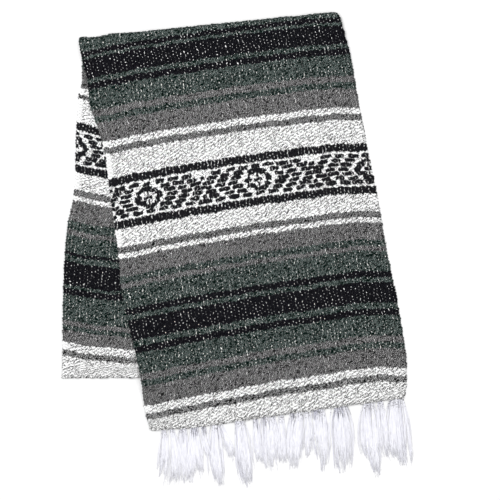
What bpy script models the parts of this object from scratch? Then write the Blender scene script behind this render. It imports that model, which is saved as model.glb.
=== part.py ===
"""A mexican serape: one striped, fringed blanket, folded in half along its length and in half across.

It lies flat on its underside. Metres, +Z up. The origin is under the middle of its bounding box,
+X runs across the folded cloth and +Y runs up it, towards the crosswise fold.
The front half lies on the back half and is turned a little from it, so the back half shows at the left.
"""

import math
from collections import namedtuple

import bmesh
import bpy
from mathutils import Vector

# The cloth and how its four layers stack.
CLOTH = 0.0026
GAP = 0.0003
LAYER = 0.0033
JOIN = 0.0001
BITE = 0.0003
PAIR = CLOTH + LAYER + GAP
TWO_LAYERS = 2 * LAYER
STACK = TWO_LAYERS + PAIR
SIDE_FOLD_RADIUS = PAIR / 2
TOP_FOLD_RADIUS = STACK / 2

# The folded halves: half of the loom's width, and how far each half runs down from the crosswise fold.
FOLDED_WIDTH = 0.635
FRONT_LENGTH = 0.962
BACK_LENGTH = 0.852
TOP_FOLD_RETURN = 0.006
TUCK = 0.025
UNDER_LAYER_PEEK = 0.003
UNEVEN = 0.0015

# Where the front half's cloth drops off the back half onto what it lies on.
DROP_START = 0.012
DROP_END = 0.055

# Rounding of the woven edges and of the hidden layers' bend.
EDGE_ROUND = 0.0009
BEND_ROUND = 0.0028
WOVEN_EDGES = ("right upper", "right lower", "end upper", "end lower")

# The fringe lies beyond the front half's woven end.
FRINGE_ROOT = 0.0056
FRINGE_TIP = 0.0030

# How finely the walls are divided.
SIDE_FOLD_STEPS = 5
TOP_FOLD_STEPS = 8
ACROSS_STEPS = 16
ALONG_STEPS = 26
STRIP_STEPS = 14
FRINGE_STEPS = 18

Corners = namedtuple("Corners", "top_left top_right bottom_left bottom_right")
FRONT = Corners((-0.380, 0.513), (0.239, 0.576), (-0.213, -0.442), (0.400, -0.364))
BACK = Corners((-0.383, 0.513), (0.239, 0.576), (-0.426, -0.312), (0.203, -0.312))

# How far each long edge stands outside the straight line between its corners.
Sway = namedtuple("Sway", "down left right")
FRONT_SWAY = (
    Sway(0.00, 0.000, 0.000),
    Sway(0.12, 0.004, 0.011),
    Sway(0.24, -0.008, 0.012),
    Sway(0.40, -0.010, 0.016),
    Sway(0.60, 0.004, 0.022),
    Sway(0.75, 0.000, 0.026),
    Sway(0.88, -0.005, 0.026),
    Sway(1.00, 0.000, 0.000),
)
BACK_SWAY = (
    Sway(0.00, 0.000, 0.000),
    Sway(0.12, -0.008, 0.000),
    Sway(0.26, -0.002, 0.000),
    Sway(0.46, -0.003, 0.000),
    Sway(0.57, 0.009, 0.000),
    Sway(0.74, 0.009, 0.000),
    Sway(0.90, 0.004, 0.000),
    Sway(1.00, 0.000, 0.000),
)

# The tassels' reach below the woven end and how far their tips lean to the right.
Tassels = namedtuple("Tassels", "across reach lean")
FRINGE = (
    Tassels(0.00, 0.104, -0.006),
    Tassels(0.07, 0.137, 0.000),
    Tassels(0.17, 0.1453, 0.010),
    Tassels(0.27, 0.148, 0.014),
    Tassels(0.37, 0.146, 0.008),
    Tassels(0.45, 0.117, 0.004),
    Tassels(0.58, 0.117, 0.004),
    Tassels(0.67, 0.151, 0.012),
    Tassels(0.76, 0.153, 0.014),
    Tassels(0.88, 0.180, 0.020),
    Tassels(1.00, 0.150, 0.026),
)


def smooth(t):
    t = min(max(t, 0.0), 1.0)
    return t * t * (3 - 2 * t)


def read(rows, key, field, at):
    """The value of a table's field between two rows, on a smooth curve through all of them."""
    keys = [getattr(row, key) for row in rows]
    values = [getattr(row, field) for row in rows]
    last = len(rows) - 1
    at = min(max(at, keys[0]), keys[last])
    i = max(n for n in range(last) if keys[n] <= at)

    def slope(n):
        low, high = max(n - 1, 0), min(n + 1, last)
        return (values[high] - values[low]) / (keys[high] - keys[low])

    span = keys[i + 1] - keys[i]
    t = (at - keys[i]) / span
    start = (1 + 2 * t) * (1 - t) ** 2 * values[i] + t * (1 - t) ** 2 * span * slope(i)
    return start + t * t * (3 - 2 * t) * values[i + 1] + t * t * (t - 1) * span * slope(i + 1)


def edge(corners, sway, side, down):
    """A point of the left or right edge, at a share of the way down it."""
    top = Vector(getattr(corners, "top_" + side))
    bottom = Vector(getattr(corners, "bottom_" + side))
    along = (bottom - top).normalized()
    outwards = Vector((along.y, -along.x)) * (1 if side == "left" else -1)
    return top.lerp(bottom, down) + outwards * read(sway, "down", side, down)


def on_front(across, along):
    """The plan point of the front half at distances from its left edge and its top edge."""
    down = along / FRONT_LENGTH
    left = edge(FRONT, FRONT_SWAY, "left", down)
    return left.lerp(edge(FRONT, FRONT_SWAY, "right", down), across / FOLDED_WIDTH)


def on_back(across, along):
    down = along / BACK_LENGTH
    left = edge(BACK, BACK_SWAY, "left", down)
    return left.lerp(edge(BACK, BACK_SWAY, "right", down), across / FOLDED_WIDTH)


def tuck_line(along):
    """Where the visible strip of the back half ends, a little way under the front half."""
    height = on_back(0, along).y
    low, high = 0.0, 1.0
    for _ in range(30):
        middle = (low + high) / 2
        if edge(FRONT, FRONT_SWAY, "left", middle).y > height:
            low = middle
        else:
            high = middle
    return Vector((edge(FRONT, FRONT_SWAY, "left", low).x + TUCK, height))


def rise(point):
    """How high the front half's lowest layer lies: on the back half's two layers, or on nothing."""
    past_right = point.x - edge(BACK, BACK_SWAY, "right", (BACK.top_right[1] - point.y) / BACK_LENGTH).x
    past_end = BACK.bottom_left[1] - point.y
    outside = math.hypot(max(past_right, 0), max(past_end, 0))
    return TWO_LAYERS * (1 - smooth((outside - DROP_START) / (DROP_END - DROP_START)))


def rolled(across, out):
    """Across the side fold: the distance from the fold's outside, and the depth below the upper face."""
    depth = CLOTH - out
    if across >= 0:
        return SIDE_FOLD_RADIUS + across, depth
    turn = -across / SIDE_FOLD_RADIUS
    reach = SIDE_FOLD_RADIUS - depth
    return SIDE_FOLD_RADIUS - reach * math.sin(turn), SIDE_FOLD_RADIUS - reach * math.cos(turn)


def place_front_panel(across, along, out):
    """Lays the front wall: round the side fold, and round the crosswise fold to the underside."""
    across, depth = rolled(across, out)
    turn = -along / TOP_FOLD_RADIUS
    if turn <= 0:
        point = on_front(across, TOP_FOLD_RADIUS + along)
        return Vector((point.x, point.y, rise(point) + PAIR - depth))
    reach = TOP_FOLD_RADIUS - depth
    if turn < math.pi:
        point = on_front(across, TOP_FOLD_RADIUS - reach * math.sin(turn))
        return Vector((point.x, point.y, TOP_FOLD_RADIUS + reach * math.cos(turn)))
    point = on_front(across, TOP_FOLD_RADIUS * (1 + turn - math.pi))
    return Vector((point.x, point.y, depth))


def place_front_under(across, along, out):
    """Lays the front half's under layer: it bites a little into what it lies on, and never goes below 0."""
    point = on_front(SIDE_FOLD_RADIUS + across, TOP_FOLD_RADIUS + along)
    bottom = max(rise(point) - JOIN, 0.0)
    top = rise(point) + LAYER
    return Vector((point.x, point.y, bottom + (top - bottom) * out / LAYER))


def place_back_panel(across, along, out):
    """Lays the visible strip of the back half, its left edge rolled down to the underside."""
    across, depth = rolled(across, out)
    left = on_back(0, along)
    strip = tuck_line(along) - left
    if across > SIDE_FOLD_RADIUS:
        share = (across - SIDE_FOLD_RADIUS) / (FOLDED_WIDTH - SIDE_FOLD_RADIUS)
        across = SIDE_FOLD_RADIUS + (strip.length - SIDE_FOLD_RADIUS) * share
    point = left + strip.normalized() * across
    return Vector((point.x, point.y, PAIR - depth))


def place_covered_layer(across, along, out):
    """Lays the part of the back half's upper layer that the front half covers."""
    left = tuck_line(along) + Vector((2 * GAP, 0))
    right = edge(BACK, BACK_SWAY, "right", along / BACK_LENGTH) - Vector((UNEVEN, 0))
    point = left.lerp(right, across / FOLDED_WIDTH)
    return Vector((point.x, point.y, LAYER - BITE + out))


def place_bottom_layer(across, along, out):
    point = on_back(across, along)
    return Vector((point.x, point.y, out))


def place_fringe(across, along, out):
    """Lays the fringe from the woven end: along runs from 0 at the end to 1 at the tips."""
    share = across / FOLDED_WIDTH
    root = on_front(across, FRONT_LENGTH + GAP)
    reach = read(FRINGE, "across", "reach", share)
    lean = read(FRINGE, "across", "lean", share)
    point = root + Vector((lean, -reach)) * along
    thick = FRINGE_ROOT + (FRINGE_TIP - FRINGE_ROOT) * along
    return Vector((point.x, point.y, thick * out))


def steps(start, stop, count):
    return [start + (stop - start) * i / count for i in range(1, count)]


def on_side(co, side, low, high):
    """Whether a corner of a block is on one of its long edges, such as "end upper"."""
    name, face = side.split()
    axis = 0 if name == "right" else 1
    place = low[axis] if name == "start" else high[axis]
    height = high.z if face == "upper" else low.z
    return abs(co[axis] - place) < 1e-6 and abs(co.z - height) < 1e-6


def block(name, low, high, across_cuts, along_cuts, rounds, place, collection):
    """A wall cut flat as a block, its edges rounded, then divided and laid in place.

    rounds holds, for each bevel, its amount, its segments and the long edges that it rounds.
    """
    low = Vector(low)
    high = Vector(high)
    size = high - low
    bm = bmesh.new()
    bmesh.ops.create_cube(bm, size=1.0)
    bmesh.ops.translate(bm, vec=(0.5, 0.5, 0.5), verts=bm.verts)
    bmesh.ops.scale(bm, vec=size, verts=bm.verts)
    bmesh.ops.translate(bm, vec=low, verts=bm.verts)
    for amount, segments, sides in rounds:
        chosen = [e for e in bm.edges if any(all(on_side(v.co, s, low, high) for v in e.verts) for s in sides)]
        bmesh.ops.bevel(
            bm, geom=chosen, offset=amount, affect="EDGES", segments=segments, profile=0.5, material=-1
        )
    bmesh.ops.remove_doubles(bm, verts=bm.verts, dist=1e-6)
    for axis, cuts in ((0, across_cuts), (1, along_cuts)):
        for cut in cuts:
            point = Vector((0, 0, 0))
            point[axis] = cut
            normal = Vector((0, 0, 0))
            normal[axis] = 1
            bmesh.ops.bisect_plane(
                bm, geom=bm.verts[:] + bm.edges[:] + bm.faces[:], dist=1e-7, plane_co=point, plane_no=normal
            )
    for vert in bm.verts:
        vert.co = place(*vert.co)
    # Facing layers are split along the same diagonals, so that their gap stays even.
    bmesh.ops.triangulate(bm, faces=bm.faces, quad_method="SHORT_EDGE")
    # Laying it turns its second axis from up the cloth to down it, and so turns its faces round.
    bmesh.ops.reverse_faces(bm, faces=bm.faces)
    mesh = bpy.data.meshes.new(name)
    bm.to_mesh(mesh)
    bm.free()
    mesh.shade_smooth()
    mesh.set_sharp_from_angle(angle=math.radians(40))
    made = bpy.data.objects.new(name, mesh)
    collection.objects.link(made)
    return made


def material(name, color, roughness):
    made = bpy.data.materials.new(name)
    made.use_nodes = True
    shader = made.node_tree.nodes["Principled BSDF"]
    shader.inputs["Base Color"].default_value = (*color, 1)
    shader.inputs["Roughness"].default_value = roughness
    shader.inputs["Metallic"].default_value = 0.0
    return made


def collection_named(name):
    made = bpy.data.collections.new(name)
    bpy.context.scene.collection.children.link(made)
    return made


for old in list(bpy.data.objects):
    bpy.data.objects.remove(old, do_unlink=True)

serape = collection_named("mexican serape")
joined = collection_named("layers joined into one")

side_fold = math.pi * SIDE_FOLD_RADIUS
top_fold = math.pi * TOP_FOLD_RADIUS
front_width = FOLDED_WIDTH - SIDE_FOLD_RADIUS
front_run = FRONT_LENGTH - TOP_FOLD_RADIUS

front_panel = block(
    "front_panel",
    (-side_fold, -top_fold - TOP_FOLD_RETURN, 0),
    (front_width, front_run, CLOTH),
    steps(-side_fold, 0, SIDE_FOLD_STEPS) + [0] + steps(0, front_width, ACROSS_STEPS),
    [-top_fold] + steps(-top_fold, 0, TOP_FOLD_STEPS) + [0] + steps(0, front_run, ALONG_STEPS),
    ((EDGE_ROUND, 1, WOVEN_EDGES),),
    place_front_panel,
    serape,
)
front_panel.data.materials.append(material("striped cloth, front", (0.12, 0.13, 0.13), 0.95))

back_start = TOP_FOLD_RADIUS + TOP_FOLD_RETURN + 6 * GAP
back_panel = block(
    "back_panel",
    (-side_fold, back_start, 0),
    (front_width, BACK_LENGTH, CLOTH),
    steps(-side_fold, 0, SIDE_FOLD_STEPS) + [0],
    steps(back_start, BACK_LENGTH, STRIP_STEPS),
    ((EDGE_ROUND, 1, ("end upper", "end lower")),),
    place_back_panel,
    serape,
)
back_panel.data.materials.append(material("striped cloth, back", (0.12, 0.13, 0.13), 0.95))

folded_layers = block(
    "folded_layers",
    (GAP, -BEND_ROUND, 0),
    (front_width + UNDER_LAYER_PEEK, front_run, LAYER),
    steps(0, front_width, ACROSS_STEPS) + [front_width],
    [0] + steps(0, front_run, ALONG_STEPS),
    ((BEND_ROUND, 3, ("start upper",)), (EDGE_ROUND, 1, WOVEN_EDGES)),
    place_front_under,
    serape,
)
covered_layer = block(
    "covered_layer",
    (0, TOP_FOLD_RADIUS - BEND_ROUND, 0),
    (FOLDED_WIDTH, BACK_LENGTH - UNEVEN, LAYER + 2 * BITE),
    [],
    [back_start] + steps(back_start, BACK_LENGTH, STRIP_STEPS),
    ((BEND_ROUND, 3, ("start lower",)), (EDGE_ROUND, 1, WOVEN_EDGES)),
    place_covered_layer,
    joined,
)
bottom_layer = block(
    "bottom_layer",
    (SIDE_FOLD_RADIUS + GAP, back_start, 0),
    (FOLDED_WIDTH, BACK_LENGTH, LAYER),
    [],
    steps(back_start, BACK_LENGTH, STRIP_STEPS),
    ((EDGE_ROUND, 1, WOVEN_EDGES),),
    place_bottom_layer,
    joined,
)
for layer in (covered_layer, bottom_layer):
    layer.hide_render = True
    layer.display_type = "WIRE"
    union = folded_layers.modifiers.new("join " + layer.name, "BOOLEAN")
    union.operation = "UNION"
    union.solver = "EXACT"
    union.object = layer
folded_layers.data.materials.append(material("hidden cloth", (0.16, 0.16, 0.16), 0.95))

fringe = block(
    "fringe",
    (0, 0, 0),
    (FOLDED_WIDTH, 1, 1),
    steps(0, FOLDED_WIDTH, FRINGE_STEPS),
    steps(0, 1, 3),
    (),
    place_fringe,
    serape,
)
fringe.data.materials.append(material("fringe yarn", (0.78, 0.79, 0.84), 0.9))
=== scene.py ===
import math
import random
from collections import namedtuple

import bmesh
import bpy
import numpy as np
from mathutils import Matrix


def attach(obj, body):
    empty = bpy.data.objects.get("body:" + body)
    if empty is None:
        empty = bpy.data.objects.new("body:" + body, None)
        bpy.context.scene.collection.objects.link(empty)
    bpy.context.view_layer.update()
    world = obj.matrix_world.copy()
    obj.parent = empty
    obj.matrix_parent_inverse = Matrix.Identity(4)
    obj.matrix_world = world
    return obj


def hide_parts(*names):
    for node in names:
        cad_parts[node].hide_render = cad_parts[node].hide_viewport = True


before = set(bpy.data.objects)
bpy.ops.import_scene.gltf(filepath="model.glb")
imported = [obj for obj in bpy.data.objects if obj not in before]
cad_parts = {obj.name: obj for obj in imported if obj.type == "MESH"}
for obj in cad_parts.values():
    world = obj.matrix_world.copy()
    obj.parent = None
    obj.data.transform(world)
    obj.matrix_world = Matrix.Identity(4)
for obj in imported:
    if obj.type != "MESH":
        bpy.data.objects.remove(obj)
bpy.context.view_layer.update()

# ------------------------------------------------------------------------------------------------
# The back half's under layer: the blanket is folded along its length, so each half is two layers.
# Thick soft weft is packed over thin warp ends, and this layer lies straight on the table.
# It shows only at its left and lower edges, and carries everything else.
# ------------------------------------------------------------------------------------------------

# The cloth's thickness, the gap between pieces, how far a layer is lifted off what it lies on, the depth that
# it takes up, and the width of a half.
CLOTH = 0.0026
GAP = 0.0003
LIFT = 0.0002
LAYER = 0.0033
PAIR = CLOTH + LAYER + GAP
SIDE_FOLD_RADIUS = PAIR / 2
FOLDED_WIDTH = 0.635
WOVEN_WIDTH = FOLDED_WIDTH - SIDE_FOLD_RADIUS

# The weave: the warp ends across a half, the depth of a weft pick, the length of a ply's turn, and how deep
# the hollows are. RIM is how far an edge stands out; WAVER and UNEVEN are how picks and the woven end sway.
ENDS = 74
END = WOVEN_WIDTH / ENDS
PICK = 0.0039
PLY = 0.0025
HOLLOW = 0.0010
RIM = 0.0009
WAVER = 0.0008
UNEVEN = 0.0007

# The back half's picks. The first ones are out of sight and gather up to a line below the crosswise fold.
BACK_PICKS = 218
BACK_SEEN = 8 * PICK
BACK_START = 0.0145

# Plan of each half: its corners, how its long edges sway, and how its picks bow from side to side.
Corners = namedtuple("Corners", "top_left top_right bottom_left bottom_right")
Sway = namedtuple("Sway", "down left right")
Bow = namedtuple("Bow", "across upper lower end")
Half = namedtuple("Half", "corners sway bow length")
BACK = Half(
    Corners((-0.383, 0.513), (0.239, 0.576), (-0.429, -0.312), (0.203, -0.312)),
    (
        Sway(0.00, 0.000, 0.000),
        Sway(0.12, -0.008, 0.000),
        Sway(0.17, -0.002, 0.000),
        Sway(0.26, -0.001, 0.000),
        Sway(0.46, -0.003, 0.000),
        Sway(0.57, 0.009, 0.000),
        Sway(0.74, 0.009, 0.000),
        Sway(0.90, 0.004, 0.000),
        Sway(1.00, 0.000, 0.000),
    ),
    (
        Bow(0.00, 0.000, 0.000, 0.0018),
        Bow(0.05, 0.013, 0.007, 0.0018),
        Bow(0.10, 0.024, 0.012, 0.0018),
        Bow(0.20, 0.038, 0.018, 0.0018),
        Bow(0.35, 0.046, 0.024, 0.0018),
        Bow(1.00, 0.050, 0.030, 0.0018),
    ),
    0.852,
)


def eased(t):
    """A smooth step from 0 to 1."""
    t = np.clip(t, 0.0, 1.0)
    return t * t * (3 - 2 * t)


def read(rows, key, field, at):
    """A table's field between its rows, on a smooth curve through all of them."""
    keys = np.array([getattr(row, key) for row in rows])
    values = np.array([getattr(row, field) for row in rows])
    order = np.arange(len(keys))
    low = np.maximum(order - 1, 0)
    high = np.minimum(order + 1, order[-1])
    slopes = (values[high] - values[low]) / (keys[high] - keys[low])
    at = np.clip(at, keys[0], keys[-1])
    i = np.clip(np.searchsorted(keys, at, "right") - 1, 0, len(keys) - 2)
    span = keys[i + 1] - keys[i]
    t = (at - keys[i]) / span
    start = (1 + 2 * t) * (1 - t) ** 2 * values[i] + t * (1 - t) ** 2 * span * slopes[i]
    return start + t * t * (3 - 2 * t) * values[i + 1] + t * t * (t - 1) * span * slopes[i + 1]


def edge(half, side, down):
    """Points of a half's left or right edge, at shares of the way down it."""
    top = np.array(getattr(half.corners, "top_" + side))
    bottom = np.array(getattr(half.corners, "bottom_" + side))
    along = (bottom - top) / np.linalg.norm(bottom - top)
    outwards = np.array((along[1], -along[0])) * (1 if side == "left" else -1)
    bulge = read(half.sway, "down", side, down)
    return top + np.outer(down, bottom - top) + np.outer(bulge, outwards)


def on_half(half, across, run):
    """Plan points at distances from a half's left edge and from the crosswise fold."""
    down = run / half.length
    left = edge(half, "left", down)
    return left + (edge(half, "right", down) - left) * (across / FOLDED_WIDTH)[:, None]


def run_of(half, across, pick, first, seen, start):
    """How far below the crosswise fold a pick lies; from seen back to first the picks gather up to start."""
    shown = np.maximum(pick, seen)
    share = across / FOLDED_WIDTH
    down = np.clip(shown / half.length, 0, 1)
    bow = read(half.bow, "across", "upper", share) * (1 - down)
    bow = bow + read(half.bow, "across", "lower", share) * down
    # Over the last 55 mm the picks leave off wavering and take on the line of the woven end.
    waver = WAVER * (np.sin(across * 75 + shown * 20) + 0.6 * np.sin(across * 133 - shown * 33 + 1.3))
    ending = eased((shown - half.length + 0.055) / 0.05)
    uneven = UNEVEN * (np.sin(across * 190 + 0.7) + np.sin(across * 331 + 2.0) + np.sin(across * 83))
    bow = (bow + waver) * (1 - ending) + (read(half.bow, "across", "end", share) + uneven) * ending
    gathered = np.clip((seen - pick) / (seen - first), 0, 1)
    return (shown + bow) * (1 - gathered) + start * gathered


def chance(a, b):
    """The same number from 0 to 1 each time for a pair of whole numbers."""
    return np.modf(np.abs(np.sin(a * 12.9898 + b * 78.233) * 43758.5453))[0]


def weave_hollow(across, pick):
    """How far the surface lies below the tops of the weft's beads, no two of which are quite as high."""
    just_past = 1e-6
    end = np.floor(across / END + just_past)
    row = np.floor(pick / PICK + just_past)
    ridge = np.abs(np.sin(math.pi * pick / PICK))
    bead = ridge * (0.66 - 0.34 * np.sin(math.pi * across / END) * np.sin(math.pi * pick / PICK))
    return HOLLOW * (1 - bead * (0.72 + 0.28 * chance(end, row)))


def stations(first, last, step):
    """Evenly spaced places from first to last, both included."""
    return list(np.linspace(first, last, round((last - first) / step) + 1))


def woven(name, columns, rows, coarse, place):
    """A closed sheet whose upper face has a point at each column and row, and whose underside is coarse."""
    # It starts flat, two units wide and one thick. Two more lines of points, one swelled out halfway down and
    # one at the bottom, close its edge, and a coarser grid just inside them is the underside.
    swell = 1.001
    inside = 0.99
    bm = bmesh.new()
    bmesh.ops.create_grid(bm, x_segments=len(columns) - 1, y_segments=len(rows) - 1, size=1.0)
    bmesh.ops.translate(bm, vec=(0, 0, 1), verts=bm.verts)
    rim = [e for e in bm.edges if e.is_boundary]
    for grow in (swell, 1 / swell):
        grown = bmesh.ops.extrude_edge_only(bm, edges=rim)["geom"]
        rim = [g for g in grown if isinstance(g, bmesh.types.BMEdge)]
        points = [g for g in grown if isinstance(g, bmesh.types.BMVert)]
        bmesh.ops.translate(bm, vec=(0, 0, -0.5), verts=points)
        bmesh.ops.scale(bm, vec=(grow, grow, 1), verts=points)
    bmesh.ops.create_grid(bm, x_segments=coarse[0], y_segments=coarse[1], size=inside)
    rim = [e for e in bm.edges if e.is_boundary]
    bmesh.ops.triangle_fill(bm, use_beauty=True, edges=rim, normal=(0, 0, -1))
    bmesh.ops.recalc_face_normals(bm, faces=bm.faces)
    # Picks run down the plan, which turns the sheet over, so its faces are turned first.
    bmesh.ops.reverse_faces(bm, faces=bm.faces)
    mesh = bpy.data.meshes.new(name)
    bm.to_mesh(mesh)
    bm.free()
    flat = np.empty(len(mesh.vertices) * 3)
    mesh.vertices.foreach_get("co", flat)
    x, y, share = flat.reshape(-1, 3).T
    beyond = [np.sign(v) * np.maximum(np.abs(v) - 1, 0) / (swell - 1) * RIM for v in (x, y)]
    across = np.interp(x, np.linspace(-1, 1, len(columns)), columns) + beyond[0]
    pick = np.interp(y, np.linspace(-1, 1, len(rows)), rows) + beyond[1]
    out = CLOTH * share - np.where(share > 0.99, weave_hollow(across, pick), 0)
    mesh.vertices.foreach_set("co", place(across, pick, out).ravel())
    corner = np.empty(len(mesh.loops), np.int32)
    mesh.loops.foreach_get("vertex_index", corner)
    layer = mesh.uv_layers.new(name="weave")
    layer.uv.foreach_set("vector", np.column_stack((across, pick))[corner].ravel())
    mesh.update()
    mesh.shade_smooth()
    made = bpy.data.objects.new(name, mesh)
    bpy.context.scene.collection.objects.link(made)
    return made


def place_back_under(across, pick, out):
    """Lies on the table, inside the side fold."""
    on = across + SIDE_FOLD_RADIUS
    run = run_of(BACK, on, pick, 0.0, BACK_SEEN, BACK_START)
    return np.column_stack((on_half(BACK, on, run), LIFT + out))


# The stripes, in picks from the crosswise fold down, and the yarns that they are woven in. Each yarn is
# marled: of its plies, the share in "deep_share" are deep and the rest light; in the white and the band's
# pale weft the deep ones are near black. In the other yarns the warp shows through as light flecks; in the
# white and the band's pale weft the flecks are dark, painted shade in the pits between beads. "shade" is how
# dark it goes in its hollows. BACK_EYE is an end that an eye of the band is on.
Stripe = namedtuple("Stripe", "picks yarn")
Yarn = namedtuple("Yarn", "deep light deep_share fleck fleck_size shade")
YARNS = {
    "teal": Yarn((0.001, 0.007, 0.005), (0.155, 0.190, 0.181), 0.69, (1.00, 0.99, 0.96), 0.78, 0.70),
    "black": Yarn((0.001, 0.001, 0.002), (0.016, 0.016, 0.020), 0.60, (1.00, 1.00, 0.99), 0.64, 0.60),
    "grey": Yarn((0.003, 0.003, 0.003), (0.325, 0.321, 0.324), 0.63, (0.80, 0.79, 0.79), 0.72, 0.65),
    "slate": Yarn((0.004, 0.004, 0.004), (0.360, 0.360, 0.362), 0.64, (0.90, 0.90, 0.90), 0.60, 0.65),
    "charcoal": Yarn((0.003, 0.003, 0.003), (0.460, 0.460, 0.462), 0.68, (0.90, 0.90, 0.90), 0.62, 0.60),
    "white": Yarn((0.010, 0.010, 0.010), (0.990, 0.990, 0.990), 0.24, (0.01, 0.01, 0.01), 1.15, 0.45),
    "ink": Yarn((0.001, 0.001, 0.002), (0.022, 0.022, 0.025), 0.52, (1.00, 1.00, 1.00), 1.05, 0.60),
    "motif": Yarn((0.030, 0.030, 0.031), (0.990, 0.990, 0.990), 0.20, (0.02, 0.02, 0.02), 0.74, 0.45),
}
BACK_STRIPES = (
    Stripe(20, "teal"), Stripe(12, "grey"), Stripe(4, "white"), Stripe(3, "slate"),
    Stripe(15, "white"), Stripe(5, "ink"), Stripe(22, "motif"), Stripe(5, "ink"),
    Stripe(11, "white"), Stripe(4, "slate"), Stripe(3, "white"), Stripe(13, "grey"),
    Stripe(6, "teal"), Stripe(3, "grey"), Stripe(11, "teal"), Stripe(2, "black"),
    Stripe(4, "teal"), Stripe(15, "black"), Stripe(2, "teal"), Stripe(4, "black"),
    Stripe(17, "teal"), Stripe(3, "grey"), Stripe(3, "teal"), Stripe(8, "grey"),
    Stripe(5, "white"), Stripe(4, "charcoal"), Stripe(14, "white"),
)
BACK_EYE = -0.5

# The diamond band, in ends across and picks down: the spacing of its eyes, rings of dashes and rows, where
# the first ring and row start, which rows and ring are the middle and last ones, half the size of a small
# dash, and how far out an eye's own ring is.
EYE_SPACING = 31.6
RING_SPACING = 3.9
FIRST_RING = 3.2
ROW_SPACING = 2.8
FIRST_ROW = 1.15
MIDDLE_ROW = 3
LAST_ROW = 6
LAST_RING = 3
DASH_ENDS = 1.33
DASH_PICKS = 1.15
EYE_ENDS = 3.15
EYE_ROWS = 2.05

# Half a fleck's width in ends, how much wider one is in the white, where flecks are painted shade in the pits
# between beads, and how far it leans there.
FLECK = 0.09
WHITE_FLECK = 0.06
WHITE_LEAN = 0.38

# The dark lint that clings to the weft near the woven end, and the most stripes that one ramp holds.
LINT = (0.02, 0.02, 0.02, 1)
RAMP_STRIPES = 12


class Thread:
    """A value drawn through a material: arithmetic on it adds Math nodes, and node() adds any other."""

    def __init__(self, tree, socket=None):
        self.tree = tree
        self.socket = socket

    def node(self, kind, settings=None, inputs=None, output=0):
        """Adds a node: its settings first, then the values or threads of its inputs."""
        made = self.tree.nodes.new(kind)
        settings = dict(settings or {})
        stops = settings.pop("stops", None)
        interpolation = settings.pop("interpolation", None)
        for name, value in settings.items():
            setattr(made, name, value)
        if stops:
            ramp = made.color_ramp
            ramp.interpolation = interpolation
            for place, color in stops[2:]:
                ramp.elements.new(place)
            for element, (place, color) in zip(ramp.elements, stops):
                element.position = place
                element.color = (*color, 1)
        for name, value in (inputs or {}).items():
            if isinstance(value, Thread):
                self.tree.links.new(value.socket, made.inputs[name])
            else:
                made.inputs[name].default_value = value
        return Thread(self.tree, made.outputs[output])

    def output(self, index):
        return Thread(self.tree, self.socket.node.outputs[index])

    def math(self, operation, *values):
        return self.node("ShaderNodeMath", {"operation": operation}, dict(enumerate((self, *values))))

    def __add__(self, other):
        return self.math("ADD", other)

    def __sub__(self, other):
        return self.math("SUBTRACT", other)

    def __rsub__(self, other):
        return Thread.math(self * -1, "ADD", other)

    def __mul__(self, other):
        return self.math("MULTIPLY", other)

    def __truediv__(self, other):
        return self.math("DIVIDE", other)

    def __lt__(self, other):
        return self.math("LESS_THAN", other)

    def __gt__(self, other):
        return self.math("GREATER_THAN", other)

    __radd__ = __add__
    __rmul__ = __mul__

    def between(self, low, high):
        """0 below low and 1 above high, smoothly; low may be above high."""
        ends = {"Value": self, "From Min": low, "From Max": high}
        return self.node("ShaderNodeMapRange", {"interpolation_type": "SMOOTHSTEP"}, ends)

    def mix(self, first, second):
        """From the first colour to the second as this value goes from 0 to 1."""
        return self.node("ShaderNodeMix", {"data_type": "RGBA"}, {0: self, 6: first, 7: second}, 2)


def material_of(piece, name, roughness, sheen):
    """Gives a piece a new material; returns its shader and a thread to draw with."""
    made = bpy.data.materials.new(name)
    made.use_nodes = True
    shader = made.node_tree.nodes["Principled BSDF"]
    shader.inputs["Roughness"].default_value = roughness
    shader.inputs["Specular IOR Level"].default_value = 0.02
    shader.inputs["Sheen Weight"].default_value = sheen
    shader.inputs["Sheen Roughness"].default_value = 0.6
    piece.data.materials.append(made)
    return shader, Thread(made.node_tree)


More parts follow.
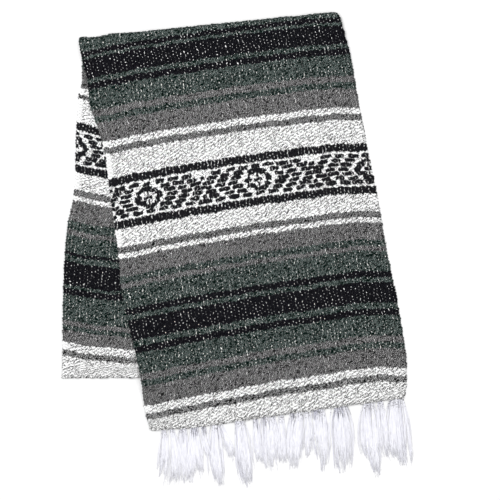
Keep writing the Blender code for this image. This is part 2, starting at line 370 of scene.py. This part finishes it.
def striped(piece, name, stripes, eye_end):
    """The serape's weave: striped weft, light flecks of warp between its beads, dark flecks of painted shade
    in the pale weft's pits, and the diamond band.
    """
    shader, draw = material_of(piece, name, 0.95, 0.01)
    loom = draw.node("ShaderNodeUVMap", {"uv_map": "weave"})
    across = draw.node("ShaderNodeSeparateXYZ", {}, {0: loom})
    along = across.output(1)

    # Ends and picks wander a little, and each bead of weft spreads over the ends where its neighbours dip.
    wander = draw.node("ShaderNodeTexNoise", {}, {"Vector": loom, "Scale": 75.0, "Detail": 2.0}, 1)
    wander = draw.node("ShaderNodeSeparateColor", {}, {0: wander})
    ends = across / END + (wander - 0.5) * 1.4
    picks = along / PICK + (wander.output(1) - 0.5) * 1.6
    picks = picks - (ends * math.pi).math("SINE") * (picks * math.pi).math("COSINE") * 0.30
    end = ends.math("FLOOR")
    pick = picks.math("FLOOR")
    beside = ends - end - 0.5
    over = picks - pick - 0.5

    # Each yarn is a step on a scale, and ramps of a few stripes each choose the step for a pick. Beads make
    # a tooth at each end in the line between one colour and the next, and loose fibres fray it.
    fray = draw.node("ShaderNodeTexNoise", {}, {"Vector": loom, "Scale": 450.0, "Detail": 1.0})
    dyed = picks + (fray - 0.5) * 1.0
    shot = (dyed + beside.math("ABSOLUTE") * 1.7 - 0.42).math("FLOOR")
    names = list(YARNS)
    step = {yarn: (n + 0.5) / len(names) for n, yarn in enumerate(names)}
    starts = [sum(s.picks for s in stripes[:n]) for n in range(len(stripes) + 1)]
    level = 0
    for first in range(0, len(stripes), RAMP_STRIPES):
        last = min(first + RAMP_STRIPES, len(stripes))
        low, high = starts[first], starts[last]
        stops = [
            ((starts[n] - low) / (high - low), (step[stripes[n].yarn],) * 3) for n in range(first, last)
        ]
        ramp = {"stops": stops, "interpolation": "CONSTANT"}
        part = draw.node("ShaderNodeValToRGB", ramp, {0: (shot + (0.5 - low)) / (high - low)})
        if first > 0:
            part = part * (shot > low - 0.5)
        if last < len(stripes):
            part = part * (shot < high - 0.5)
        level = part + level

    # The diamond band: seven rows of dashes in rings round each eye. A dash is a float of dark weft about
    # two picks thick, and no two are quite alike. The first ring of dashes is joined up round the eye.
    band = starts[[s.yarn for s in stripes].index("motif")]
    rows = (dyed - (band + FIRST_ROW)) / ROW_SPACING
    row = rows.math("FLOOR")
    eyes = (ends - eye_end) / EYE_SPACING + 0.5
    eye = eyes.math("FLOOR")
    from_eye = (eyes - eye - 0.5) * EYE_SPACING
    level_with = (row - MIDDLE_ROW).math("ABSOLUTE")
    further = level_with * (level_with * 0.1 + 0.85)
    rings = (from_eye.math("ABSOLUTE") + further - FIRST_RING) / RING_SPACING + 0.5
    ring = rings.math("FLOOR")
    right = (from_eye > 0) * 2 - 1
    float_at = draw.node("ShaderNodeCombineXYZ", {}, {0: ring + right * 9, 1: row, 2: eye})
    whim = draw.node("ShaderNodeTexWhiteNoise", {"noise_dimensions": "3D"}, {"Vector": float_at}, 1)
    whim = draw.node("ShaderNodeSeparateColor", {}, {0: whim})
    centre = ring < -0.5
    heavy = ring.math("COMPARE", LAST_RING, 0.1) * (level_with < 1.5) * 0.1
    heavy = heavy + (whim > 0.88) * 0.6
    sideways = (rings - ring - 0.5) * right * RING_SPACING * (1 - centre) + from_eye * centre
    sideways = sideways + (whim - 0.5) * 0.5
    down = (rows - row - 0.5) * ROW_SPACING + sideways * 0.12 + (whim.output(1) - 0.5) * 0.3
    sideways = sideways / (whim.output(1) * 0.40 + DASH_ENDS + heavy * 0.5)
    down = down / (whim.output(2) * 0.40 + DASH_PICKS + heavy)
    edge_at = sideways.math("POWER", 4) + down.math("POWER", 4) + (fray - 0.5) * 0.8
    eye_x = (from_eye / EYE_ENDS).math("ABSOLUTE")
    eye_y = (((rows + row) / 2 - (MIDDLE_ROW + 0.25)) / EYE_ROWS).math("ABSOLUTE")
    round_eye = (eye_x.math("POWER", 1.5) + eye_y.math("POWER", 1.5) - 1).math("ABSOLUTE")
    round_eye = round_eye < (wander.output(2) - 0.5) * 1.3 + (whim - 0.5) * 0.4 + 0.44
    in_eye = ring.math("COMPARE", 0, 0.1) * (level_with < 2.5)
    dark = ((edge_at < 1) * (1 - in_eye)).math("MAXIMUM", round_eye)
    outmost = (level_with > 1.5) * (row > 0.5) + (LAST_RING + 0.5)
    dark = dark * (ring < outmost) * (row > -0.5) * (row < LAST_ROW + 0.5)
    dark = dark * (level > step["motif"] - 0.01)
    level = level + dark * (step["ink"] - step["motif"])

    def by_yarn(field):
        """What the yarn at a point has in one of its columns."""
        values = [getattr(yarn, field) for yarn in YARNS.values()]
        colors = [v if isinstance(v, tuple) else (v,) * 3 for v in values]
        stops = [(n / len(names), color) for n, color in enumerate(colors)]
        return draw.node("ShaderNodeValToRGB", {"stops": stops, "interpolation": "CONSTANT"}, {0: level})

    # Where the warp passes over, at every second pick of an end, it shows as a fleck. A few are long. In the
    # white, which is beaten in less tightly, they are wider and slant. There, as in the band's pale weft, a
    # fleck
    # is dark: painted shade in a pit between the beads.
    white = level.math("COMPARE", step["white"], 0.02)
    warp_over = 1 - ((end + pick) / 2).math("FRACT") * 2
    rises = (picks + end) / 2 + 0.25
    rise = rises.math("FLOOR")
    crossing = draw.node("ShaderNodeCombineXYZ", {}, {0: end, 1: rise, 2: 0.5})
    luck = draw.node("ShaderNodeTexWhiteNoise", {"noise_dimensions": "3D"}, {"Vector": crossing})
    chances = draw.node("ShaderNodeSeparateColor", {}, {0: luck.output(1)})
    before = (rises - rise - 0.5) * 2
    size = by_yarn("fleck_size") * (0.75 + luck * 0.5)
    aside = (beside - (chances - 0.5) * 0.28 + before * white * WHITE_LEAN) / (white * WHITE_FLECK + FLECK)
    longer = chances.output(1).math("POWER", 6) + 0.68
    ahead = (before - (chances.output(1) - 0.5) * 0.38) / (size * longer)
    away = (aside * aside + ahead * ahead).math("SQRT")
    fleck = away.between(1.1, 0.8) * chances.output(2).between(0.05, 1 - white * 0.6) * (1 - dark * 0.4)

    # White weft round the side fold, within 3 to 18 mm of it, gets a painted highlight: it is all light, with
    # no deep plies and no flecks. Near the woven end it isn't, and dark lint lies on the last two picks.
    woven_end = starts[-1]
    fold_highlight = across.between(0.018, 0.003) * white * picks.between(woven_end - 14, woven_end - 18)
    lint = picks.between(woven_end - 2.2, woven_end - 0.6) * fray.between(0.50, 0.58) * 0.8
    fleck = fleck * (1 - fold_highlight)

    # A pick is two strands side by side. The plies of each slant across it, deep and light by turns, though
    # here and there a deep one takes a light one's place.
    strands = picks * 2
    strand = strands.math("FLOOR")
    around = strands - strand - 0.5
    turns = across / PLY + around * 0.9 + (wander.output(2) - 0.5) * 3 + (fray - 0.5) * 1.2 + strand * 0.37
    turn = turns.math("FLOOR")
    swell = 1 - (turns - turn - 0.5).math("POWER", 2) * 4
    ply_at = draw.node("ShaderNodeCombineXYZ", {}, {0: turn, 1: strand, 2: 9.5})
    tone = draw.node("ShaderNodeTexWhiteNoise", {"noise_dimensions": "3D"}, {"Vector": ply_at})
    tone = tone * 0.38 + ((turn + strand) / 2).math("FRACT") + 0.06
    twist = draw.node("ShaderNodeCombineXYZ", {}, {0: turns * 3, 1: along * 300, 2: strand})
    fibre = draw.node("ShaderNodeTexNoise", {}, {"Vector": twist, "Scale": 1.0, "Detail": 2.0})
    share = by_yarn("deep_share")
    heather = (tone + (fibre - 0.5) * 0.4).between(share - 0.07, share + 0.07).math("MAXIMUM", fold_highlight)
    ridge = 1 - over * over * 4
    dip = (beside * 3.0).math("ABSOLUTE").between(1.0, 0.2) * warp_over
    height = ridge * (1 - dip * 0.6) * (swell * (1 - around * around * 3) * 0.4 + 0.6)
    lit = 1 - by_yarn("shade") * height.between(0.60, 0.05)
    weft = heather.mix(by_yarn("deep"), by_yarn("light"))
    weft = weft.node("ShaderNodeVectorMath", {"operation": "SCALE"}, {0: weft, "Scale": lit})
    color = lint.mix(fleck.mix(weft, by_yarn("fleck")), LINT)
    draw.tree.links.new(color.socket, shader.inputs["Base Color"])

    # The bump is rounded beads, with the plies and fibres of the yarn on them, and flecks that stand up.
    height = height + fleck * 0.4 + fibre * 0.5
    bump = draw.node("ShaderNodeBump", {}, {"Strength": 0.8, "Distance": 0.0008, "Height": height})
    draw.tree.links.new(bump.socket, shader.inputs["Normal"])


back_rows = stations(0, BACK_PICKS * PICK, PICK / 2)
back_under = woven(
    "back_under_layer",
    stations(GAP, WOVEN_WIDTH - END, 10 * END) + [WOVEN_WIDTH - END / 2, WOVEN_WIDTH],
    back_rows,
    (10, 40),
    place_back_under,
)
striped(back_under, "striped weave, back half underneath", BACK_STRIPES, BACK_EYE)
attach(back_under, "root")
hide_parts("folded_layers")

# ------------------------------------------------------------------------------------------------
# The back half's upper layer: the same cloth, rolled round the left side fold and laid back over
# the under layer. Only a strip at the left shows; the front half covers the rest.
# ------------------------------------------------------------------------------------------------

# The cloth that the fold takes up. Up to STRIP_ENDS from it the weave is in the mesh, and past HIDDEN_ENDS,
# under the front half, only every eighth end is.
SIDE_FOLD = math.pi * SIDE_FOLD_RADIUS
STRIP_ENDS = 29
HIDDEN_ENDS = 35

# Round the fold the weft's turns stand out as loops, some further than others, with smaller nubs on them.
LOOP = 0.0010
LOOP_LUCK = 0.0024
NUB = 0.0012
MEAN_LOOP = 0.0018


def rolled(across, pick, out):
    """Across the side fold: the distance from the fold's outside, and the depth below the upper face."""
    depth = CLOTH - out
    turn = np.maximum(-across, 0) / SIDE_FOLD_RADIUS
    luck = chance(np.floor(pick / PICK / 2 + 0.25), 3.0)
    nubs = NUB * chance(np.round(across / END * 4), np.round(pick / PICK * 2))
    loops = LOOP * np.cos(math.pi * pick / PICK) + LOOP_LUCK * luck + nubs
    reach = SIDE_FOLD_RADIUS - depth + (loops - MEAN_LOOP) * np.sin(turn) ** 2
    on = np.where(across >= 0, SIDE_FOLD_RADIUS + across, SIDE_FOLD_RADIUS - reach * np.sin(turn))
    return on, np.where(across >= 0, depth, SIDE_FOLD_RADIUS - reach * np.cos(turn))


def place_back_upper(across, pick, out):
    """Rolls round the side fold and lies on the under layer."""
    on, depth = rolled(across, pick, out)
    run = run_of(BACK, on, pick, 0.0, BACK_SEEN, BACK_START)
    return np.column_stack((on_half(BACK, on, run), PAIR - depth))


roll = [-SIDE_FOLD, -END, -0.75 * END, -0.5 * END, -0.25 * END]
back_upper = woven(
    "back_upper_layer",
    roll + stations(0, STRIP_ENDS * END, END / 2) + stations(HIDDEN_ENDS * END, WOVEN_WIDTH, 8 * END),
    back_rows,
    (20, 40),
    place_back_upper,
)
striped(back_upper, "striped weave, back half", BACK_STRIPES, BACK_EYE)
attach(back_upper, "root")
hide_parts("back_panel")

# ------------------------------------------------------------------------------------------------
# The front half's under layer: it lies on the back half and, where the front half reaches past it,
# drops to the table. It peeks out along the right edge, which is the loom's selvedge.
# ------------------------------------------------------------------------------------------------

FRONT = Half(
    Corners((-0.3895, 0.513), (0.239, 0.576), (-0.2195, -0.442), (0.400, -0.364)),
    (
        Sway(0.00, 0.000, 0.000),
        Sway(0.05, 0.001, 0.005),
        Sway(0.11, -0.004, 0.010),
        Sway(0.17, 0.001, 0.011),
        Sway(0.24, -0.010, 0.012),
        Sway(0.30, -0.015, 0.013),
        Sway(0.38, -0.010, 0.015),
        Sway(0.48, -0.007, 0.018),
        Sway(0.57, -0.002, 0.018),
        Sway(0.64, 0.004, 0.019),
        Sway(0.75, 0.000, 0.022),
        Sway(0.88, -0.004, 0.021),
        Sway(0.95, 0.000, 0.014),
        Sway(1.00, -0.005, 0.000),
    ),
    (
        Bow(0.00, 0.0205, 0.0205, 0.0016),
        Bow(0.05, 0.0180, 0.0185, 0.0036),
        Bow(0.10, 0.0140, 0.0165, 0.0056),
        Bow(0.20, 0.0090, 0.0112, 0.0076),
        Bow(0.30, 0.0052, 0.0078, 0.0070),
        Bow(0.40, 0.0030, 0.0045, 0.0050),
        Bow(0.50, 0.0000, 0.0000, 0.0036),
        Bow(0.60, -0.0026, -0.0008, 0.0026),
        Bow(0.70, -0.0030, -0.0018, 0.0022),
        Bow(0.80, -0.0044, -0.0042, 0.0016),
        Bow(0.90, -0.0038, -0.0035, 0.0008),
        Bow(0.95, -0.0015, 0.0015, 0.0000),
        Bow(1.00, -0.0005, 0.0070, -0.0004),
    ),
    0.962,
)

# Its picks, how far its selvedge peeks out and frays, and how far the crosswise fold dips and rises.
FRONT_PICKS = 246
PEEK = 0.003
FRAY = 0.0008
FRAY_LUCK = 0.0026
DIP = 0.0034

# It starts just under the crosswise fold, where its first picks gather up.
UNDER_FIRST = -5 * PICK
UNDER_SEEN = 2 * PICK
UNDER_START = 0.0040

# Where the cloth drops off the back half, and the soft ridges that its weight hasn't pressed out.
TWO_LAYERS = 2 * LAYER
DROP_START = 0.012
DROP_END = 0.055
LUMP = 0.0002
Swell = namedtuple("Swell", "across run length width turn height")
SWELLS = (
    Swell(0.10, 0.21, 0.150, 0.032, 74, 0.0026),
    Swell(0.26, 0.36, 0.190, 0.040, 62, 0.0018),
    Swell(0.06, 0.55, 0.110, 0.030, 96, 0.0022),
    Swell(0.44, 0.20, 0.170, 0.045, 104, 0.0016),
    Swell(0.53, 0.52, 0.160, 0.036, 82, 0.0024),
    Swell(0.34, 0.66, 0.150, 0.045, 58, 0.0018),
    Swell(0.18, 0.79, 0.120, 0.034, 100, 0.0022),
    Swell(0.58, 0.81, 0.100, 0.030, 70, 0.0026),
)


def lie(across, run):
    """How high the front half's underside lies: on the back half's two layers, or on the table."""
    point = on_half(FRONT, across, run)
    down = (BACK.corners.top_right[1] - point[:, 1]) / BACK.length
    past_right = point[:, 0] - edge(BACK, "right", down)[:, 0]
    past_end = BACK.corners.bottom_left[1] - point[:, 1]
    outside = np.hypot(np.maximum(past_right, 0), np.maximum(past_end, 0))
    height = TWO_LAYERS * (1 - eased((outside - DROP_START) / (DROP_END - DROP_START)))
    fade = eased((run - 0.03) / 0.08) * eased((FRONT.length - run) / 0.06)
    for swell in SWELLS:
        angle = math.radians(swell.turn)
        x, y = across - swell.across, run - swell.run
        along = (x * math.cos(angle) + y * math.sin(angle)) / swell.length
        aside = (y * math.cos(angle) - x * math.sin(angle)) / swell.width
        height = height + swell.height * fade * np.exp(-along * along - aside * aside)
    lumps = np.sin(across * 61 + 1.1) * np.sin(run * 53 + 0.4) + np.sin(across * 97 - run * 41)
    return height + LUMP * (2 + lumps) * fade


def frayed(across, pick):
    """How far the weft's turns stand out at the selvedge: one turn for every two picks."""
    turn = np.cos(math.pi * pick / PICK)
    luck = chance(np.floor(pick / PICK / 2 + 0.25), 7.0)
    return (FRAY * turn + FRAY_LUCK * (luck - 0.5)) * eased((across - WOVEN_WIDTH + END) / END)


def trimmed(across, run):
    """Rounds the corners, and lets the crosswise fold dip and rise near the left one."""
    radius = 0.007
    fading = 0.04
    side = np.minimum(across, FOLDED_WIDTH + PEEK - across)
    near = np.clip(radius - side, 0, radius)
    cut = radius - np.sqrt(radius * radius - near * near)
    dip = DIP * np.sin((across - 0.02) * 62) * np.exp(-((across / 0.10) ** 2)) * eased(across / 0.02)
    run = run + (cut + dip) * (1 - eased(run / fading))
    return run - cut * (1 - eased((FRONT.length - run) / fading))


def place_front_under(across, pick, out):
    """Lies on the back half and the table, with its selvedge out of step with the upper layer's."""
    on = across + SIDE_FOLD_RADIUS
    run = trimmed(on, run_of(FRONT, on, pick, UNDER_FIRST, UNDER_SEEN, UNDER_START))
    point = on_half(FRONT, on + frayed(across, pick + PICK), run)
    return np.column_stack((point, lie(on, run) + 2 * LIFT + out))


FRONT_STRIPES = (
    Stripe(4, "teal"), Stripe(3, "black"), Stripe(2, "teal"), Stripe(12, "black"),
    Stripe(3, "teal"), Stripe(4, "black"), Stripe(13, "teal"), Stripe(4, "grey"),
    Stripe(4, "teal"), Stripe(12, "grey"), Stripe(4, "white"), Stripe(4, "slate"),
    Stripe(15, "white"), Stripe(5, "ink"), Stripe(22, "motif"), Stripe(5, "ink"),
    Stripe(11, "white"), Stripe(4, "slate"), Stripe(3, "white"), Stripe(11, "grey"),
    Stripe(4, "teal"), Stripe(3, "grey"), Stripe(13, "teal"), Stripe(4, "black"),
    Stripe(3, "teal"), Stripe(13, "black"), Stripe(4, "teal"), Stripe(4, "black"),
    Stripe(13, "teal"), Stripe(4, "grey"), Stripe(4, "teal"), Stripe(12, "grey"),
    Stripe(5, "white"), Stripe(4, "charcoal"), Stripe(11, "white"),
)
FRONT_EYE = 10.4
selvedge = [WOVEN_WIDTH - END / 2, WOVEN_WIDTH, WOVEN_WIDTH + PEEK]
front_under = woven(
    "front_under_layer",
    stations(GAP, WOVEN_WIDTH - END, 5 * END) + selvedge,
    stations(UNDER_FIRST, FRONT_PICKS * PICK, PICK / 2),
    (24, 60),
    place_front_under,
)
striped(front_under, "striped weave, front half underneath", FRONT_STRIPES, FRONT_EYE)
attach(front_under, "root")
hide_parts("folded_layers")

# ------------------------------------------------------------------------------------------------
# The front half's upper layer: the face of the folded serape, with its stripes and diamond band.
# It rolls round the side fold at the left, and bends round the crosswise fold to the underside.
# ------------------------------------------------------------------------------------------------

# The crosswise fold: its radius, how far the cloth returns under it, its picks, of which the first ones are
# gathered up out of sight, the cloth that it takes up, and the tufts that stand out on it.
TOP_FOLD_RADIUS = (TWO_LAYERS + PAIR) / 2
TOP_FOLD_RETURN = 0.006
FIRST_PICK = -11 * PICK
LAST_HIDDEN = -3 * PICK
TUFT = 0.0042


def place_front_upper(across, pick, out):
    """Rolls round both folds, and lies on the under layer between them and the woven end."""
    on, depth = rolled(across, pick, out)
    start = -(math.pi - 1) * TOP_FOLD_RADIUS - TOP_FOLD_RETURN
    run = run_of(FRONT, on, pick, FIRST_PICK, LAST_HIDDEN, start)
    past = run - TOP_FOLD_RADIUS
    turn = -past / TOP_FOLD_RADIUS
    tufts = TUFT * (chance(np.round(across / END * 2), np.round(pick / PICK * 2)) - 0.5)
    reach = TOP_FOLD_RADIUS - depth + tufts * np.sin(np.clip(turn, 0, math.pi))
    under = TOP_FOLD_RADIUS * (1 + turn - math.pi)
    bent = np.where(turn < math.pi, TOP_FOLD_RADIUS - reach * np.sin(turn), under)
    run = trimmed(on, np.where(past >= 0, run, bent))
    point = on_half(FRONT, on + frayed(across, pick), run)
    low = np.where(turn < math.pi, TOP_FOLD_RADIUS + reach * np.cos(turn), depth)
    return np.column_stack((point, np.where(past >= 0, lie(on, run) + PAIR - depth, low)))


front_upper = woven(
    "front_upper_layer",
    roll + stations(0, WOVEN_WIDTH, END / 2),
    stations(FIRST_PICK, FRONT_PICKS * PICK, PICK / 2),
    (26, 66),
    place_front_upper,
)
striped(front_upper, "striped weave, front half", FRONT_STRIPES, FRONT_EYE)
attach(front_upper, "root")
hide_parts("front_panel")

# ------------------------------------------------------------------------------------------------
# The fringe: the warp ends beyond the woven edge, gathered into tassels and left to fluff out.
# Each layer of the front half has its row of tassels, and the rows lie on each other on the table.
# ------------------------------------------------------------------------------------------------

# Each tassel's root on the woven edge, its middle and tip on the table, its width at each, and how many
# strands and how many short grey thrums it has.
Tassel = namedtuple("Tassel", "root_x root_w mid_x mid_y mid_w tip_x tip_y tip_w strands thrums")
UPPER_TASSELS = (
    Tassel(-0.182, 0.009, -0.183, -0.495, 0.020, -0.190, -0.553, 0.030, 120, 8),
    Tassel(-0.133, 0.012, -0.133, -0.505, 0.030, -0.130, -0.572, 0.030, 180, 4),
    Tassel(-0.110, 0.012, -0.100, -0.490, 0.018, -0.086, -0.540, 0.022, 100, 22),
    Tassel(-0.057, 0.016, -0.056, -0.500, 0.040, -0.046, -0.576, 0.034, 260, 3),
    Tassel(0.002, 0.016, 0.012, -0.495, 0.036, 0.021, -0.578, 0.026, 220, 4),
    Tassel(0.040, 0.008, 0.046, -0.470, 0.020, 0.054, -0.524, 0.026, 120, 10),
    Tassel(0.103, 0.011, 0.104, -0.460, 0.028, 0.107, -0.524, 0.030, 150, 2),
    Tassel(0.150, 0.014, 0.142, -0.465, 0.032, 0.139, -0.540, 0.020, 180, 2),
    Tassel(0.201, 0.011, 0.202, -0.460, 0.036, 0.205, -0.546, 0.015, 180, 4),
    Tassel(0.247, 0.020, 0.254, -0.455, 0.044, 0.255, -0.544, 0.028, 260, 30),
    Tassel(0.320, 0.015, 0.323, -0.460, 0.038, 0.338, -0.560, 0.016, 220, 3),
    Tassel(0.388, 0.018, 0.393, -0.445, 0.040, 0.405, -0.536, 0.034, 270, 3),
)
UNDER_TASSELS = (
    Tassel(-0.164, 0.010, -0.154, -0.500, 0.026, -0.161, -0.576, 0.032, 160, 2),
    Tassel(-0.108, 0.016, -0.108, -0.500, 0.036, -0.107, -0.568, 0.036, 180, 4),
    Tassel(-0.087, 0.010, -0.076, -0.475, 0.018, -0.069, -0.503, 0.016, 80, 12),
    Tassel(-0.048, 0.010, -0.025, -0.470, 0.018, -0.012, -0.520, 0.016, 80, 0),
    Tassel(0.063, 0.010, 0.068, -0.475, 0.026, 0.074, -0.540, 0.024, 150, 6),
    Tassel(0.080, 0.009, 0.087, -0.465, 0.024, 0.092, -0.524, 0.022, 120, 0),
    Tassel(0.131, 0.008, 0.128, -0.460, 0.020, 0.127, -0.524, 0.022, 100, 10),
    Tassel(0.166, 0.010, 0.168, -0.455, 0.024, 0.166, -0.508, 0.028, 120, 0),
    Tassel(0.188, 0.014, 0.189, -0.435, 0.020, 0.191, -0.470, 0.014, 80, 34),
    Tassel(0.236, 0.010, 0.240, -0.450, 0.020, 0.244, -0.535, 0.016, 90, 0),
    Tassel(0.310, 0.010, 0.307, -0.450, 0.032, 0.317, -0.510, 0.020, 140, 0),
    Tassel(0.344, 0.013, 0.350, -0.440, 0.028, 0.360, -0.508, 0.020, 140, 2),
    Tassel(0.374, 0.012, 0.370, -0.440, 0.030, 0.380, -0.516, 0.022, 140, 0),
)

# A strand's radius and points, the number of strands in a lock, and how deep in the cloth they start.
STRAND = 0.00042
STRAND_POINTS = 10
LOCK_STRANDS = 8
TUCK = 0.004

# How far locks lie to either side of a tassel's line, in its widths, and the share that stray further out.
LOCK_ASIDE = 0.62
STRAYS = 0.08
STRAY_ASIDE = 1.8

# How far down the tassel locks and thrums reach, and a strand's share of that: least, most and usual.
LOCK_REACH = (0.55, 1.0, 0.96)
THRUM_REACH = (0.08, 0.32)
STRAND_REACH = (0.78, 1.06, 0.98)

# How far a lock waves, the waves' phase and number, and how far strands scatter in their lock.
WAVE = (0.0004, 0.0028)
PHASE = (0, 6.28)
WAVES = (4, 10)
SCATTER = 0.0021

# The pile of strands on the table: its least height, how much higher the top is, and the share in the shade.
PILE_FOOT = 0.0011
PILE = 0.0013
IN_SHADE = 0.22

# The yarns of a tassel, as slots of its materials: in the light, in the shade, and a grey thrum.
LIGHT, SHADED, THRUM = range(3)
YARN_LINT = (0.05, 0.05, 0.06, 1)


def woven_edge(x):
    """How far along Y the front half's woven edge lies."""
    left, right = FRONT.corners.bottom_left, FRONT.corners.bottom_right
    slope = (right[1] - left[1]) / (right[0] - left[0])
    return x * slope + (left[1] - left[0] * slope)


def through(root, middle, tip, t):
    """A value on the smooth curve through three others."""
    return root * (1 - t) * (1 - 2 * t) + middle * 4 * t * (1 - t) + tip * t * (2 * t - 1)


def lay_tube(curve, points, radii, slot):
    """Adds one strand to a curve."""
    spline = curve.splines.new("POLY")
    spline.points.add(len(points) - 1)
    spline.points.foreach_set("co", np.column_stack((points, np.ones(len(points)))).ravel())
    spline.points.foreach_set("radius", radii)
    spline.material_index = slot
    spline.use_smooth = True


def meshed(drawn):
    """A curve's tubes as one mesh piece, their ends closed."""
    graph = bpy.context.evaluated_depsgraph_get()
    mesh = bpy.data.meshes.new_from_object(drawn.evaluated_get(graph))
    name = drawn.name
    bpy.data.objects.remove(drawn)
    bm = bmesh.new()
    bm.from_mesh(mesh)
    bmesh.ops.remove_doubles(bm, verts=bm.verts, dist=1e-6)
    bmesh.ops.recalc_face_normals(bm, faces=bm.faces)
    bm.to_mesh(mesh)
    bm.free()
    mesh.name = name
    made = bpy.data.objects.new(name, mesh)
    bpy.context.scene.collection.objects.link(made)
    return made


def spun(piece, name, dark, light):
    """One of the fringe's soft yarns, with dark lint caught in it near the weave."""
    shader, draw = material_of(piece, name, 0.9, 0.3)
    place = draw.node("ShaderNodeTexCoord", output=3)
    along = draw.node("ShaderNodeMapping", {}, {"Vector": place, "Scale": (1.0, 0.12, 1.0)})
    streak = draw.node("ShaderNodeTexNoise", {}, {"Vector": along, "Scale": 480.0, "Detail": 2.0})
    color = streak.between(0.38, 0.56).mix(dark, light)
    x = draw.node("ShaderNodeSeparateXYZ", {}, {0: place})
    below = woven_edge(x) - x.output(1)
    lint = draw.node("ShaderNodeTexNoise", {}, {"Vector": place, "Scale": 420.0, "Detail": 0.0})
    lint = lint.between(0.58, 0.64) * below.between(0.030, 0.002) * 0.9
    color = lint.mix(color, YARN_LINT)
    draw.tree.links.new(color.socket, shader.inputs["Base Color"])


def tassels(name, rows, height, seed):
    """Lays each tassel as locks of strands, each with its own length, wave and place in the pile."""
    draw = random.Random(seed)
    curve = bpy.data.curves.new(name, "CURVE")
    curve.dimensions = "3D"
    curve.bevel_depth = STRAND
    curve.bevel_resolution = 0
    curve.use_fill_caps = True
    drawn = bpy.data.objects.new(name, curve)
    bpy.context.scene.collection.objects.link(drawn)
    spun(drawn, "fringe yarn in the light", (0.84, 0.84, 0.90, 1), (0.93, 0.93, 0.98, 1))
    spun(drawn, "fringe yarn in the shade", (0.74, 0.74, 0.82, 1), (0.84, 0.84, 0.91, 1))
    spun(drawn, "grey thrums", (0.16, 0.16, 0.20, 1), (0.60, 0.60, 0.69, 1))
    for tassel in rows:
        for strand in range(tassel.strands + tassel.thrums):
            short = strand >= tassel.strands
            if strand % LOCK_STRANDS == 0 or short:
                side = draw.triangular(-LOCK_ASIDE, LOCK_ASIDE, 0)
                if draw.random() < STRAYS:
                    side *= STRAY_ASIDE
                reach = draw.uniform(*THRUM_REACH) if short else draw.triangular(*LOCK_REACH)
                wave, phase, turns = draw.uniform(*WAVE), draw.uniform(*PHASE), draw.uniform(*WAVES)
                pile = 1 if short else draw.uniform(0, 1)
                slot = THRUM if short else SHADED if pile < IN_SHADE else LIGHT
            end = min(1, reach * draw.triangular(*STRAND_REACH))
            t = np.linspace(0, end, STRAND_POINTS)
            spread = side * through(tassel.root_w, tassel.mid_w, tassel.tip_w, t)
            x = through(tassel.root_x, tassel.mid_x, tassel.tip_x, t) + spread
            x = x + wave * np.sin(turns * t + phase) * eased(t * 3)
            x = x + draw.gauss(0, SCATTER) * eased(t + 0.20)
            y = through(woven_edge(x[0]) + TUCK, tassel.mid_y, tassel.tip_y, t)
            y = y + wave * np.sin(turns * t * 0.7 + phase * 2) * t
            high = height * (1 - eased(t / 0.35)) + (PILE_FOOT + PILE * pile) * (1 - 0.3 * t)
            swell = 0.6 + 0.4 * np.sin(math.pi * np.clip(t / end, 0.05, 0.97))
            lay_tube(curve, np.column_stack((x, y, high)), swell * draw.uniform(0.7, 1.15), slot)
    return meshed(drawn)


fringe_upper = tassels("fringe_upper_layer", UPPER_TASSELS, height=0.0020, seed=11)
fringe_under = tassels("fringe_under_layer", UNDER_TASSELS, height=0.0002, seed=29)
for piece in (fringe_upper, fringe_under):
    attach(piece, "root")
    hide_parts("fringe")

# ------------------------------------------------------------------------------------------------
# The setting: a pale table with the folded serape lying flat on it, broad soft light from above and
# all round, so that shadows are faint, and a camera straight above.
# ------------------------------------------------------------------------------------------------

# Half the table's width, how pale it is, and how strong the light from all round is.
TABLE = 12.0
PALE = (0.92, 0.92, 0.92, 1)
ROOM_LIGHT = 0.62
bm = bmesh.new()
bmesh.ops.create_grid(bm, x_segments=1, y_segments=1, size=TABLE)
mesh = bpy.data.meshes.new("table")
bm.to_mesh(mesh)
bm.free()
table = bpy.data.objects.new("table", mesh)
bpy.context.scene.collection.objects.link(table)
shader = material_of(table, "pale table", 0.9, 0.0)[0]
shader.inputs["Base Color"].default_value = PALE

world = bpy.data.worlds.new("soft room")
world.use_nodes = True
world.node_tree.nodes["Background"].inputs["Color"].default_value = (1, 1, 1, 1)
world.node_tree.nodes["Background"].inputs["Strength"].default_value = ROOM_LIGHT
bpy.context.scene.world = world

Lamp = namedtuple("Lamp", "name x y z width watts")
LAMPS = (
    Lamp("overhead softbox", -0.9, 0.8, 2.6, 2.0, 48),
    Lamp("side softbox", 1.6, -0.4, 2.2, 1.6, 14),
)
for lamp in LAMPS:
    light = bpy.data.lights.new(lamp.name, "AREA")
    light.size = lamp.width
    light.energy = lamp.watts
    holder = bpy.data.objects.new(lamp.name, light)
    holder.location = (lamp.x, lamp.y, lamp.z)
    holder.rotation_euler = holder.location.to_track_quat("Z", "Y").to_euler()
    bpy.context.scene.collection.objects.link(holder)

# The camera sees VIEW_WIDTH at the table from CAMERA_HEIGHT, through a lens long enough to look flat.
CAMERA_HEIGHT = 5.0
VIEW_WIDTH = 1.215
VIEW_CENTRE = (0.028, -0.0024)
lens = bpy.data.cameras.new("camera above")
lens.lens = lens.sensor_width * CAMERA_HEIGHT / VIEW_WIDTH
camera = bpy.data.objects.new("camera above", lens)
camera.location = (*VIEW_CENTRE, CAMERA_HEIGHT)
bpy.context.scene.collection.objects.link(camera)
bpy.context.scene.camera = camera
bpy.context.scene.view_settings.view_transform = "Standard"
